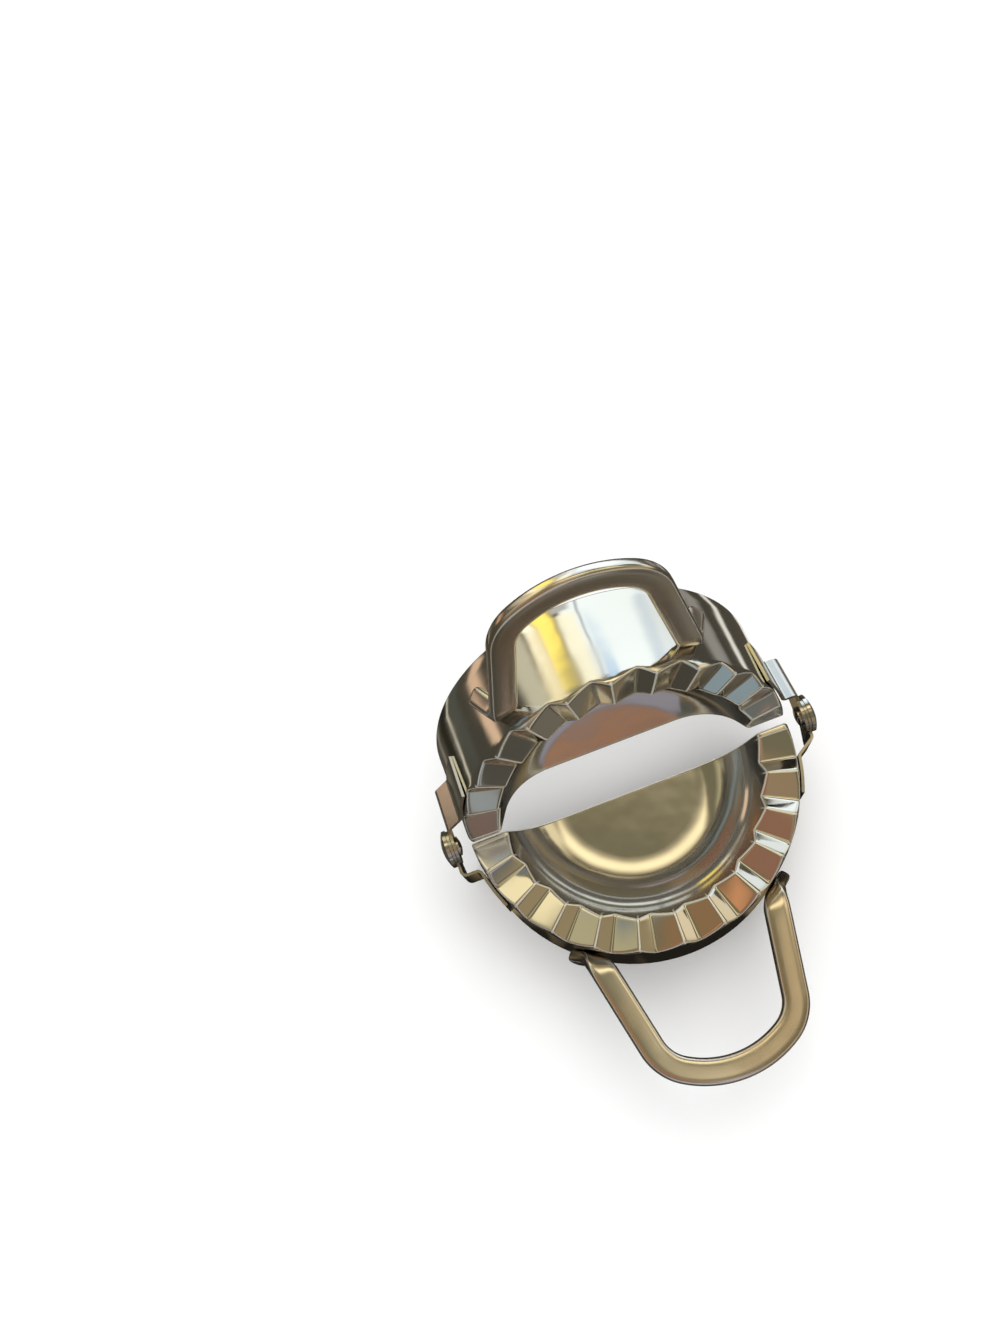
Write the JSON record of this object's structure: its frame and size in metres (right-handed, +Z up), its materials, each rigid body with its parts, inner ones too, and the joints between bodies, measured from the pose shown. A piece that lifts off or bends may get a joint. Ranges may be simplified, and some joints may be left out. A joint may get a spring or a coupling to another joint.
{
  "type": "empanada press",
  "caption": "Hinged stamped-steel empanada press: half-round pockets, toothed sealing rings, deep cutting skirts and bar handles.",
  "frame": {"origin": "on the floor under the middle of the press, standing on the lower cutting rim with the upper half raised", "axes": "+X along the hinge, +Y from the lower handle towards the raised half, +Z up"},
  "size_m": [0.0808, 0.0936, 0.0772],
  "materials": {
    "polished_steel": "polished stainless sheet",
    "satin_steel": "satin stainless bar",
    "strap_steel": "stainless strap, lightly polished",
    "rivet_steel": "polished rivet head"
  },
  "bodies": {
    "lower_half": {"lower_mould": "polished_steel", "lower_handle": "satin_steel", "lower_left_hinge_strap": "strap_steel", "lower_right_hinge_strap": "strap_steel", "left_hinge_rivet": "rivet_steel", "right_hinge_rivet": "rivet_steel"},
    "upper_half": {"upper_mould": "polished_steel", "upper_handle": "satin_steel", "upper_left_hinge_strap": "strap_steel", "upper_right_hinge_strap": "strap_steel"}
  },
  "joints": [
    {"name": "hinge", "type": "hinge", "parent": "lower_half", "child": "upper_half", "pos_m": [0, 0.01468, 0.021], "axis": [1, 0, 0], "range_deg": [-69, 111]}
  ]
}
